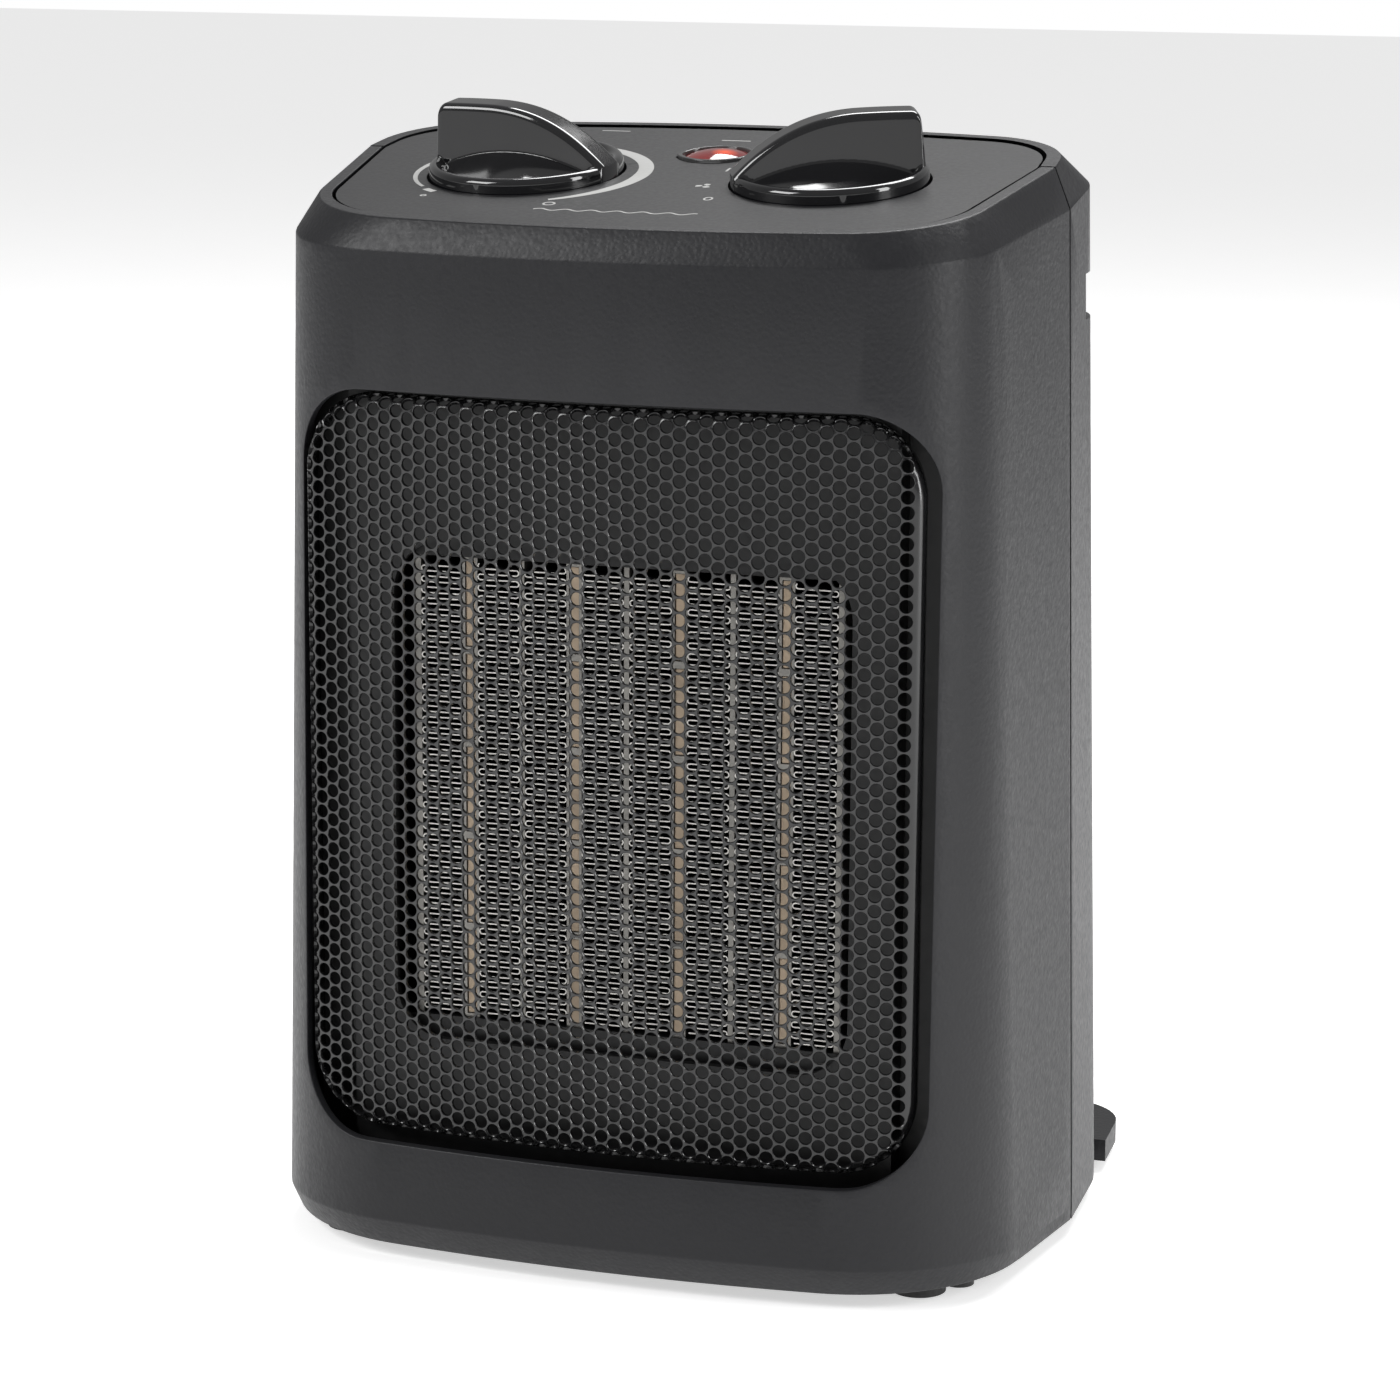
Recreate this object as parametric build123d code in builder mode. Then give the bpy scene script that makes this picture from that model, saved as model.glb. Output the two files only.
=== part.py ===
"""Ceramic space heater: a two-shell case round a fan and a PTC heating element.

Millimetres. +Z is up, the warm air leaves towards -Y, and Z = 0 is the table under the feet.
"""
from build123d import *
from math import asin, atan2, cos, pi, radians, sin, sqrt, tan
import os

os.makedirs("parts", exist_ok=True)

# ---------------------------------------------------------------- driving dimensions
SEAM_Y = -3.5            # plane where the front and rear shells meet
SEAM_GAP = 0.5           # shadow line between the two shells
WALL = 2.6               # front shell wall
REAR_WALL = 3.2          # rear shell wall
BOW = 450.0              # radius of the gently bowed front and back

# Outlines of the case at four levels, from the bottom edge to the rim round the panel:
# height and half width at the seam, tilt of the level, depth from the seam to the apex,
# corner radius, and splay of the sides in degrees.
FRONT_LEVELS = [
    dict(z=3.5, tilt=0.0, half=92.6, depth=72.2, corner=42.0, splay=8.0),
    dict(z=6.6, tilt=-3.1, half=92.6, depth=76.8, corner=42.0, splay=6.5),
    dict(z=239.9, tilt=6.6, half=86.7, depth=72.3, corner=27.5, splay=6.7),
    dict(z=249.3, tilt=9.0, half=83.0, depth=69.2, corner=30.0, splay=7.5),
]
REAR_LEVELS = [
    dict(z=3.5, tilt=0.0, half=92.6, depth=61.0, corner=30.0, splay=3.5),
    dict(z=6.6, tilt=0.0, half=92.6, depth=61.0, corner=30.0, splay=3.5),
    dict(z=239.9, tilt=6.6, half=86.7, depth=56.0, corner=32.0, splay=3.5),
    dict(z=249.3, tilt=9.0, half=83.0, depth=32.5, corner=24.0, splay=5.0),
]
RIM = 3.6                # flat lip left round the control panel
PANEL_GAP = 0.45         # gap between the lip and the panel
PANEL_THICK = 2.5

WINDOW_HALF = 74.4       # outlet window in the front shell
WINDOW_Z = (29.0, 201.0)
WINDOW_CORNER = 17.5

FOOT_BACK = 80.5         # rear end of the stabilising foot
GROOVE_Z = (213.0, 223.5)
GROOVE_DEPTH = 1.6
POCKET_HALF = 46.0       # finger pocket in the back, under the top edge
POCKET_Z = (209.0, 228.0)
POCKET_FLOOR_Y = 39.0
INTAKE_HALF = 56.0       # air intake opening in the back
INTAKE_Z = (48.0, 168.0)
GLAND_X = 40.0
GLAND_Z = 26.0
CORD_BORE_FRONT = 48.8    # inner end of the gland, where the cord's hole starts
CORD_BORE_LENGTH = 9.8
CORD_BORE_R = 3.4
GLAND_R = 6.0            # hole for the cord's gland
POST_X = 67.0            # four posts join the chassis and the rear shell
POST_Z = (44.0, 196.0)
BOSS_REACH = (52.6, 47.5)
POST_R = 5.0
SCREW_R = 1.6

KNOB_X = 36.2            # knob centres either side of the middle
KNOB_Y = -22.7
KNOB_HOLE = 22.9
KNOB_R = 22.3
WELL_DEPTH = 9.0
KNOB_TURN = {             # knob centre, and where the tall end of its grip points
    "thermostat_knob": (-KNOB_X, 170.0),
    "selector_knob": (KNOB_X, 24.0),
}
SCOOP_W = 0.8            # floor of the hollows beside the grip, above the panel
FIN_BASE = 11.0          # thickness of the knob's grip
WELL_FLOOR = 2.0
PANEL_DROP = 0.3         # the panel lies this far below the lip
SPINDLE_R = 3.0
RUNNING = 0.06           # radial clearance of a shaft in its bearing
LENS_X = 2.8             # pilot lens, pointed at both ends
LENS_Y = -2.0
LENS_TURN = 14.0
LENS_RISE = 1.1
LENS_DOME = 20.0

MESH_APEX = -73.2        # front of the grille's middle
MESH_THICK = 0.8
MESH_X = -1.4            # it sits a little to the left in its window
MESH_HALF = 72.9
MESH_CORNER = 18.0
MESH_Z = (29.8, 199.6)
MESH_BOW = 340.0         # radius of its front
MESH_CURL = 5.0          # radius of the fold into its side flanges
BAFFLE_Y = -61.0         # front of the chassis baffle
BAFFLE_HALF = 64.5
FLANGE_Y = -54.0         # front of the chassis flange
OUTLET_HALF = 54.0
OUTLET_Z = (50.0, 166.0)
TUBE_HALF = 62.5         # air duct behind the baffle
TUBE_BACK = -30.0
PLUNGER_X = 76.5         # tip-over plunger under the front right corner
PLUNGER_Y = -45.5
PLUNGER_R = 3.6
STEM_R = 2.5
SHELF_Z = (206.0, 208.0)
BASE_TOP = 6.5
BASE_THICK = 2.5

PTC_Y = -56.0            # front of the heating element
PTC_DEPTH = 15.0
FIN_Z = (54.5, 162.0)
BAR_SPACING = 25.0
BAR_W = 3.6
DIVIDER_W = 1.2
EDGE_W = 1.5
CHIPS = 5                # ceramic chips in each bar
HOLDER_H = 6.0
FOIL = 0.3               # thickness of the corrugated foil
FIN_PITCH = 2.4

FAN_Z = 108.0
BLADE_TIP = 50.0
HUB_R = 17.0
HUB_Y = (-24.0, -8.0)
BLADE_CHORD = 20.0
BLADE_ANGLE = 55.0       # between a blade's chord and the fan's axis
SHROUD_R = 52.0
SHAFT_Y = (-21.0, 32.0)
STATOR_Y = (8.0, 24.0)
MOTOR_POST_X = 23.0
SHAFT_R = 2.5
BLADES = 7
ROTOR_R = 14.0

PANEL_TILT = FRONT_LEVELS[3]["tilt"]


# ---------------------------------------------------------------- shared geometry
def level_plane(level, lift=0.0):
    """Plane of one outline level, with its origin on the seam."""
    lean = radians(level["tilt"])
    normal = (0, -sin(lean), cos(lean))
    return Plane(origin=(0, SEAM_Y, level["z"] + lift), x_dir=(1, 0, 0), z_dir=normal)


def half_outline(half, depth, corner, splay, bow=BOW):
    """One side of an outline: end of the side, middle of the corner arc, start of the bow."""
    lean = radians(splay)
    normal = (cos(lean), sin(lean))
    bow_y = depth - bow
    reach = half * normal[0] - corner - bow_y * normal[1]
    run = sqrt((bow - corner) ** 2 - reach**2)
    x = normal[0] * reach - normal[1] * run
    y = bow_y + normal[1] * reach + normal[0] * run
    bow_angle = atan2(y - bow_y, x)
    angles = (lean, (lean + bow_angle) / 2, bow_angle)
    return [(x + corner * cos(angle), y + corner * sin(angle)) for angle in angles]


def draw_outline(level, inset=0.0, side=-1, start=0.0, bow=BOW, mode=Mode.ADD):
    """Closed face from a line near the seam to the front (side -1) or to the back (side 1)."""
    half = level["half"] - inset
    depth = level["depth"] - inset
    corner = level["corner"] - inset
    start_x = half - start * tan(radians(level["splay"]))
    points = [(start_x, start)] + half_outline(half, depth, corner, level["splay"], bow)
    right = [(x, side * y) for x, y in points]
    left = [(-x, y) for x, y in right]
    with BuildLine() as outline:
        Line(right[0], right[1])
        ThreePointArc(right[1], right[2], right[3])
        ThreePointArc(right[3], (0, side * depth), left[3])
        ThreePointArc(left[3], left[2], left[1])
        Polyline(left[1], left[0], right[0])
    make_face(outline.edges(), mode=mode)


def draw_panel(inset, front=FRONT_LEVELS[3], rear=REAR_LEVELS[3]):
    """Plan of the whole case at one level, its front and rear halves in one face."""
    with BuildLine() as outline:
        for level, side in ((front, -1), (rear, 1)):
            half = level["half"] - inset
            depth = level["depth"] - inset
            points = half_outline(half, depth, level["corner"] - inset, level["splay"])
            right = [(x, side * y) for x, y in points]
            left = [(-x, y) for x, y in right]
            ThreePointArc(right[2], (0, side * depth), left[2])
            for start_x, points in ((half, right), (-half, left)):
                Line((start_x, 0), points[0])
                ThreePointArc(points[0], points[1], points[2])
    make_face(outline.edges())


def panel_plane(x, y, rise=0.0, turn=0.0):
    """Plane parallel to the control panel above (x, y), turned about its own normal."""
    lean = radians(PANEL_TILT)
    spin = radians(turn)
    height = FRONT_LEVELS[3]["z"] + (y - SEAM_Y) * tan(lean)
    origin = (x, y - rise * sin(lean), height + rise * cos(lean))
    across = (cos(spin), sin(spin) * cos(lean), sin(spin) * sin(lean))
    return Plane(origin=origin, x_dir=across, z_dir=(0, -sin(lean), cos(lean)))


def facing_front(y):
    """Vertical plane whose normal points to the front, so that its local axes are X and Z."""
    return Plane.XZ.offset(-y)


def save(builder, name):
    """Label one finished piece and write it."""
    builder.part.label = name
    export_step(builder.part, f"parts/{name}.step")


def draw_lens(grow, mode=Mode.ADD):
    """Pointed oval of the pilot lens, enlarged all round by grow."""
    tip = 7.8 + 1.3 * grow
    waist = 6.4 + grow
    with BuildLine() as outline:
        ThreePointArc((-tip, 0), (0, waist), (tip, 0))
        ThreePointArc((tip, 0), (0, -waist), (-tip, 0))
    make_face(outline.edges(), mode=mode)


def draw_mesh_curve(inset):
    """Front, folds and flanges of the grille in the open line; returns its half width at the back."""
    sweep = asin((MESH_HALF - MESH_CURL * (1 - MESH_HALF / MESH_BOW)) / MESH_BOW)
    centre_y = MESH_APEX + MESH_BOW
    curl_x = (MESH_BOW - MESH_CURL) * sin(sweep)
    curl_y = centre_y - (MESH_BOW - MESH_CURL) * cos(sweep)
    bow = MESH_BOW - inset
    curl = MESH_CURL - inset
    join = (bow * sin(sweep), centre_y - bow * cos(sweep))
    half_turn = (sweep + pi / 2) / 2
    middle = (curl_x + curl * sin(half_turn), curl_y - curl * cos(half_turn))
    edge_x = curl_x + curl
    ThreePointArc((-join[0], join[1]), (0, MESH_APEX + inset), join)
    for side in (-1, 1):
        ThreePointArc((side * join[0], join[1]), (side * middle[0], middle[1]), (side * edge_x, curl_y))
        Line((side * edge_x, curl_y), (side * edge_x, FLANGE_Y))
    return edge_x


def fin_outline(near, far):
    """Outline of one column of corrugated foil that zigzags between two x positions."""
    turns = int((FIN_Z[1] - FIN_Z[0]) / FIN_PITCH) - 1
    notch = FOIL / FIN_PITCH
    chains = []
    for tip, other, phase in ((near, far, 0.5), (far, near, 0.0)):
        chain = []
        for k in range(turns):
            z = FIN_Z[0] + 1 + (k + phase) * FIN_PITCH
            valley = other + notch * (tip - other)
            chain += [(tip, z), (tip, z + FOIL), (valley, z + (FIN_PITCH + FOIL) / 2)]
        chains.append(chain[:-1])
    return chains[0] + chains[1][::-1]


PANEL_POSTS = [(-62, -42), (62, -42)]
BASE_POSTS = [(x, -44) for x in (-55, -20, 20, 55)]
POST_PLACES = [(x, z) for x in (-POST_X, POST_X) for z in POST_Z]

# ---------------------------------------------------------------- shells
with BuildPart() as front_shell:
    for level in FRONT_LEVELS:
        with BuildSketch(level_plane(level)):
            draw_outline(level, start=SEAM_GAP / 2)
    loft(ruled=True)
    for level, lift, inset in zip(FRONT_LEVELS, (-1.0, 0.0, -1.5, 0.6), (WALL, WALL, WALL, RIM)):
        with BuildSketch(level_plane(level, lift)):
            draw_outline(level, inset=inset, start=-1.0)
    loft(ruled=True, mode=Mode.SUBTRACT)
    with BuildSketch(facing_front(-56)):
        with Locations((0, sum(WINDOW_Z) / 2)):
            RectangleRounded(2 * WINDOW_HALF, WINDOW_Z[1] - WINDOW_Z[0], WINDOW_CORNER)
    extrude(amount=40, mode=Mode.SUBTRACT)
save(front_shell, "front_shell")

with BuildPart() as rear_shell:
    for level in REAR_LEVELS:
        with BuildSketch(level_plane(level)):
            draw_outline(level, side=1, start=SEAM_GAP / 2)
    loft(ruled=True)
    insets = (REAR_WALL, REAR_WALL, REAR_WALL, RIM)
    for level, lift, inset in zip(REAR_LEVELS, (-1.0, 0.0, -1.5, 0.6), insets):
        with BuildSketch(level_plane(level, lift)):
            draw_outline(level, inset=inset, side=1, start=-1.0)
    loft(ruled=True, mode=Mode.SUBTRACT)
    # stabilising foot: a flat tongue flush with the sides
    foot = dict(half=92.6, depth=FOOT_BACK - SEAM_Y, corner=17.0, splay=4.0)
    with BuildSketch(Plane(origin=(0, SEAM_Y, 2.0))):
        draw_outline(foot, side=1, start=50.0, bow=900.0)
    extrude(amount=5.4)
    # shallow grip groove round the back, and a finger pocket in its middle
    groove = dict(half=87.3, depth=56.5, corner=31.8, splay=3.5)
    with BuildSketch(Plane(origin=(0, SEAM_Y, GROOVE_Z[0]))):
        draw_outline(groove, inset=-12, side=1, start=20.0)
        draw_outline(groove, inset=GROOVE_DEPTH, side=1, mode=Mode.SUBTRACT)
    extrude(amount=GROOVE_Z[1] - GROOVE_Z[0], mode=Mode.SUBTRACT)
    pocket_middle = sum(POCKET_Z) / 2
    pocket_height = POCKET_Z[1] - POCKET_Z[0]
    with BuildSketch(facing_front(POCKET_FLOOR_Y - 2)):
        with Locations((0, pocket_middle)):
            RectangleRounded(2 * POCKET_HALF + 5, pocket_height + 5, 5)
    extrude(amount=-13)
    with BuildSketch(facing_front(POCKET_FLOOR_Y)):
        with Locations((0, pocket_middle)):
            RectangleRounded(2 * POCKET_HALF, pocket_height, 3)
    extrude(amount=-30, mode=Mode.SUBTRACT)
    # bosses for the case screws, from the chassis posts to the back wall
    for height, reach in zip(POST_Z, BOSS_REACH):
        with BuildSketch(facing_front(SEAM_Y + 0.3)):
            with Locations((-POST_X, height), (POST_X, height)):
                Circle(POST_R)
        extrude(amount=-reach)
    with BuildSketch(facing_front(40)):
        with Locations((0, sum(INTAKE_Z) / 2)):
            RectangleRounded(2 * INTAKE_HALF, INTAKE_Z[1] - INTAKE_Z[0], 10)
        with Locations((GLAND_X, GLAND_Z)):
            Circle(GLAND_R)
        with Locations(*POST_PLACES):
            Circle(3.4)
    extrude(amount=-40, mode=Mode.SUBTRACT)
    with BuildSketch(facing_front(SEAM_Y)):
        with Locations(*POST_PLACES):
            Circle(SCREW_R + 0.2)
    extrude(amount=-50, mode=Mode.SUBTRACT)
save(rear_shell, "rear_shell")

# ---------------------------------------------------------------- control panel
with BuildPart() as control_panel:
    with BuildSketch(level_plane(FRONT_LEVELS[3], -PANEL_DROP - PANEL_THICK)):
        draw_panel(RIM + PANEL_GAP)
    extrude(amount=PANEL_THICK)
    for side in (-1, 1):
        with BuildSketch(panel_plane(side * KNOB_X, KNOB_Y, -WELL_DEPTH - WELL_FLOOR)):
            Circle(KNOB_HOLE + 2.1)
        extrude(amount=WELL_DEPTH + WELL_FLOOR - PANEL_DROP)
        with BuildSketch(panel_plane(side * KNOB_X, KNOB_Y, -WELL_DEPTH)):
            Circle(KNOB_HOLE)
        extrude(amount=WELL_DEPTH + 1, mode=Mode.SUBTRACT)
        with BuildSketch(panel_plane(side * KNOB_X, KNOB_Y, -WELL_DEPTH - WELL_FLOOR)):
            Circle(SPINDLE_R + RUNNING)
        extrude(amount=WELL_FLOOR, mode=Mode.SUBTRACT)
    with BuildSketch(panel_plane(LENS_X, LENS_Y, -PANEL_DROP - PANEL_THICK, LENS_TURN)):
        draw_lens(1.4)
    extrude(amount=PANEL_THICK + 1, mode=Mode.SUBTRACT)
    # two bosses stand on the chassis shelf and take the panel screws
    with BuildSketch(Plane.XY.offset(SHELF_Z[1])):
        with Locations(*PANEL_POSTS):
            Circle(4.0)
    extrude(amount=241.6 - SHELF_Z[1])
    with BuildSketch(Plane.XY.offset(SHELF_Z[1])):
        with Locations(*PANEL_POSTS):
            Circle(SCREW_R + 0.2)
    extrude(amount=16, mode=Mode.SUBTRACT)
save(control_panel, "control_panel")

for name, (knob_x, turn) in KNOB_TURN.items():
    with BuildPart() as knob:
        with BuildSketch(panel_plane(knob_x, KNOB_Y, -6, turn)):
            Circle(KNOB_R)
        extrude(amount=9)
        with BuildSketch(panel_plane(knob_x, KNOB_Y, SCOOP_W, turn)):
            Circle(KNOB_R - 2.5)
            Rectangle(2 * KNOB_R, FIN_BASE, mode=Mode.SUBTRACT)
        extrude(amount=5, mode=Mode.SUBTRACT)
        top = panel_plane(knob_x, KNOB_Y, 0, turn)
        upright = Plane(origin=top.origin, x_dir=top.x_dir, z_dir=-top.y_dir)
        with BuildSketch(upright):
            with BuildLine():
                Polyline((20.6, 1.0), (20.6, 14.5), (19.4, 15.5), (5.0, 15.5))
                Spline(
                    (5.0, 15.5), (-10.0, 12.3), (-18.5, 8.2), (-21.9, 3.5),
                    tangents=((-1, 0), (-0.35, -1)),
                )
                Polyline((-21.9, 3.5), (-21.9, 1.0), (20.6, 1.0))
            make_face()
        extrude(amount=FIN_BASE / 2, both=True)
        with BuildSketch(panel_plane(knob_x, KNOB_Y, -6, turn)):
            Circle(SPINDLE_R + 0.2)
        extrude(amount=8, mode=Mode.SUBTRACT)
    save(knob, name)

for name, knob_x in (("thermostat_spindle", -KNOB_X), ("selector_spindle", KNOB_X)):
    with BuildPart() as spindle:
        with BuildSketch(panel_plane(knob_x, KNOB_Y, -18)):
            Circle(SPINDLE_R)
        extrude(amount=20)
    save(spindle, name)

with BuildPart() as thermostat_body:
    with BuildSketch(panel_plane(-KNOB_X, KNOB_Y, -20)):
        RectangleRounded(30, 20, 2)
    extrude(amount=9)
    with BuildSketch(panel_plane(-KNOB_X, KNOB_Y, -19)):
        Circle(SPINDLE_R + RUNNING)
    extrude(amount=9, mode=Mode.SUBTRACT)
save(thermostat_body, "thermostat_body")

with BuildPart() as bimetal_strip:
    with BuildSketch(panel_plane(-KNOB_X, KNOB_Y, -22)):
        with Locations((-11, 0)):
            Rectangle(6, 8)
    extrude(amount=2)
    with BuildSketch(panel_plane(-KNOB_X, KNOB_Y, -22.7)):
        with Locations((2, 0)):
            Rectangle(32, 8)
    extrude(amount=0.7)
save(bimetal_strip, "bimetal_strip")

with BuildPart() as selector_switch:
    with BuildSketch(panel_plane(KNOB_X, KNOB_Y, -27)):
        RectangleRounded(28, 28, 3)
    extrude(amount=16)
    with BuildSketch(panel_plane(KNOB_X, KNOB_Y, -19)):
        Circle(SPINDLE_R + RUNNING)
    extrude(amount=9, mode=Mode.SUBTRACT)
    with BuildSketch(panel_plane(KNOB_X, KNOB_Y, -35)):
        with GridLocations(12, 10, 2, 2):
            Rectangle(0.8, 6.3)
    extrude(amount=8)
save(selector_switch, "selector_switch")

# ---------------------------------------------------------------- pilot lamp
with BuildPart() as pilot_lens:
    with BuildSketch(panel_plane(LENS_X, LENS_Y, -2.8, LENS_TURN)):
        draw_lens(0)
    extrude(amount=5)
    with Locations(panel_plane(LENS_X, LENS_Y, LENS_RISE - LENS_DOME)):
        Sphere(LENS_DOME, mode=Mode.INTERSECT)
save(pilot_lens, "pilot_lens")

with BuildPart() as lens_bezel:
    with BuildSketch(panel_plane(LENS_X, LENS_Y, -2.8, LENS_TURN)):
        draw_lens(1.1)
        draw_lens(0.2, Mode.SUBTRACT)
    extrude(amount=3.3)
save(lens_bezel, "lens_bezel")

with BuildPart() as lamp_holder:
    with BuildSketch(panel_plane(LENS_X, LENS_Y, -14, LENS_TURN)):
        RectangleRounded(23, 20, 2)
    extrude(amount=14 - PANEL_DROP - PANEL_THICK)
    with BuildSketch(panel_plane(LENS_X, LENS_Y, -12, LENS_TURN)):
        Circle(5.5)
    extrude(amount=12, mode=Mode.SUBTRACT)
save(lamp_holder, "lamp_holder")

with BuildPart() as neon_lamp:
    with BuildSketch(panel_plane(LENS_X, LENS_Y, -12, LENS_TURN)):
        Circle(2.6)
    extrude(amount=5.5)
    with Locations(panel_plane(LENS_X, LENS_Y, -6.5)):
        Sphere(2.6)
save(neon_lamp, "neon_lamp")

# ---------------------------------------------------------------- grille and chassis
with BuildPart() as grille_mesh:
    with BuildSketch(Plane(origin=(MESH_X, 0, MESH_Z[0]))):
        with BuildLine():
            outer_end = draw_mesh_curve(0.0)
            inner_end = draw_mesh_curve(MESH_THICK)
            for side in (-1, 1):
                Line((side * outer_end, FLANGE_Y), (side * inner_end, FLANGE_Y))
        make_face()
    extrude(amount=MESH_Z[1] - MESH_Z[0])
    # round the sheet's four corners, parallel to those of the window
    with BuildSketch(facing_front(FLANGE_Y)):
        with Locations((MESH_X, sum(MESH_Z) / 2)):
            RectangleRounded(2 * MESH_HALF + 1, MESH_Z[1] - MESH_Z[0], MESH_CORNER)
    extrude(amount=FLANGE_Y - MESH_APEX + 1, mode=Mode.INTERSECT)
save(grille_mesh, "grille_mesh")

tube_z = (OUTLET_Z[0] + OUTLET_Z[1]) / 2
tube_h = OUTLET_Z[1] - OUTLET_Z[0] + 16
with BuildPart() as chassis:
    with BuildSketch(facing_front(FLANGE_Y + 2)):
        with Locations((0, 115)):
            RectangleRounded(152, 186, 10)
    extrude(amount=2)
    # the baffle stands out from the flange as a shallow box as high as the window
    with BuildSketch(facing_front(FLANGE_Y + 2)):
        with Locations((0, 114)):
            RectangleRounded(2 * BAFFLE_HALF, 184, 6)
    extrude(amount=FLANGE_Y + 2 - BAFFLE_Y)
    with BuildSketch(facing_front(FLANGE_Y + 2)):
        with Locations((0, 114)):
            RectangleRounded(2 * BAFFLE_HALF - 4, 180, 4)
    extrude(amount=FLANGE_Y - BAFFLE_Y, mode=Mode.SUBTRACT)
    with BuildSketch(facing_front(TUBE_BACK)):
        with Locations((0, tube_z)):
            RectangleRounded(2 * TUBE_HALF, tube_h, 3)
            Rectangle(2 * TUBE_HALF - 4, tube_h - 4, mode=Mode.SUBTRACT)
    extrude(amount=TUBE_BACK - BAFFLE_Y - 1)
    with BuildSketch(facing_front(BAFFLE_Y)):
        with Locations((0, tube_z)):
            RectangleRounded(2 * OUTLET_HALF, OUTLET_Z[1] - OUTLET_Z[0], 12)
    extrude(amount=-4, mode=Mode.SUBTRACT)
    for height in (SHELF_Z[0], 22):
        with BuildSketch(Plane.XY.offset(height)):
            with Locations((0, (FLANGE_Y - 30) / 2)):
                Rectangle(144, -30 - FLANGE_Y)
        extrude(amount=2)
    with BuildSketch(facing_front(SEAM_Y)):
        with Locations(*POST_PLACES):
            Circle(POST_R)
    extrude(amount=SEAM_Y - FLANGE_Y - 1)
    with BuildSketch(Plane.XY.offset(BASE_TOP)):
        with Locations(*BASE_POSTS):
            Circle(4.5)
    extrude(amount=23 - BASE_TOP)
    with BuildSketch(facing_front(SEAM_Y)):
        with Locations(*POST_PLACES):
            Circle(SCREW_R + 0.2)
    extrude(amount=20, mode=Mode.SUBTRACT)
    with BuildSketch(Plane.XY.offset(BASE_TOP)):
        with Locations(*BASE_POSTS):
            Circle(SCREW_R + 0.2)
    extrude(amount=12, mode=Mode.SUBTRACT)
    with BuildSketch(Plane.XY.offset(SHELF_Z[0])):
        with Locations(*PANEL_POSTS):
            Circle(SCREW_R + 0.2)
    extrude(amount=2, mode=Mode.SUBTRACT)
save(chassis, "chassis")

# ---------------------------------------------------------------- heating element
fin_height = FIN_Z[1] - FIN_Z[0]
fin_middle = (FIN_Z[0] + FIN_Z[1]) / 2
bar_places = [(1.5 - k) * -BAR_SPACING for k in range(4)]
element_half = 2 * BAR_SPACING - DIVIDER_W / 2

with BuildPart() as ptc_bars:
    with BuildSketch(facing_front(PTC_Y)):
        with Locations(*[(x, fin_middle) for x in bar_places]):
            Rectangle(BAR_W, fin_height)
    extrude(amount=-PTC_DEPTH)
    with BuildSketch(facing_front(PTC_Y)):
        for x in bar_places:
            with Locations((x, fin_middle)):
                with GridLocations(1, fin_height / CHIPS, 1, CHIPS):
                    Rectangle(BAR_W - 1.2, fin_height / CHIPS - 1.6)
    extrude(amount=-12, mode=Mode.SUBTRACT)
save(ptc_bars, "ptc_bars")

with BuildPart() as ptc_chips:
    with BuildSketch(facing_front(PTC_Y + 0.4)):
        for x in bar_places:
            with Locations((x, fin_middle)):
                with GridLocations(1, fin_height / CHIPS, 1, CHIPS):
                    Rectangle(BAR_W - 1.6, fin_height / CHIPS - 2.0)
    extrude(amount=-11.6)
save(ptc_chips, "ptc_chips")

with BuildPart() as ptc_dividers:
    with BuildSketch(facing_front(PTC_Y)):
        with Locations(*[(k * BAR_SPACING, fin_middle) for k in (-1, 0, 1)]):
            Rectangle(DIVIDER_W, fin_height)
        with Locations(*[(side * (element_half + EDGE_W / 2), fin_middle) for side in (-1, 1)]):
            Rectangle(EDGE_W, fin_height)
    extrude(amount=-PTC_DEPTH)
save(ptc_dividers, "ptc_dividers")

with BuildPart() as ptc_fins:
    for x in bar_places:
        for side in (-1, 1):
            near = x + side * (BAR_W / 2 + 0.1)
            far = x + side * (BAR_SPACING / 2 - DIVIDER_W / 2 - 0.1)
            with BuildSketch(facing_front(PTC_Y)):
                with BuildLine():
                    Polyline(*fin_outline(near, far), close=True)
                make_face()
            extrude(amount=-PTC_DEPTH)
save(ptc_fins, "ptc_fins")

with BuildPart() as electrode_tabs:
    with BuildSketch(Plane.XY.offset(FIN_Z[1])):
        with Locations(*[(x, PTC_Y + PTC_DEPTH / 2) for x in bar_places]):
            Rectangle(0.8, 6.3)
    extrude(amount=9)
save(electrode_tabs, "electrode_tabs")

for name, bottom in (("ptc_top_holder", FIN_Z[1]), ("ptc_bottom_holder", FIN_Z[0] - HOLDER_H)):
    with BuildPart() as holder:
        with BuildSketch(Plane.XY.offset(bottom)):
            with Locations((0, PTC_Y + PTC_DEPTH / 2)):
                Rectangle(2 * TUBE_HALF - 4, PTC_DEPTH + 2)
            with Locations(*[(x, PTC_Y + PTC_DEPTH / 2) for x in bar_places]):
                Rectangle(1.4, 7, mode=Mode.SUBTRACT)
        extrude(amount=HOLDER_H)
    save(holder, name)

tube_top = OUTLET_Z[1] + 8
with BuildPart() as thermal_cutout:
    with BuildSketch(Plane.XY.offset(tube_top)):
        with Locations((-28, -44)):
            Circle(8)
    extrude(amount=6)
    with BuildSketch(Plane.XY.offset(tube_top + 6)):
        with Locations((-32, -44), (-24, -44)):
            Rectangle(0.8, 6.3)
    extrude(amount=9)
save(thermal_cutout, "thermal_cutout")

with BuildPart() as thermal_fuse:
    with BuildSketch(Plane.XY.offset(tube_top)):
        with Locations((24, -44)):
            Rectangle(8, 5)
    extrude(amount=3)
    with BuildSketch(Plane.YZ.offset(14)):
        with Locations((-44, tube_top + 4)):
            Circle(2)
    extrude(amount=20)
save(thermal_fuse, "thermal_fuse")

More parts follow.
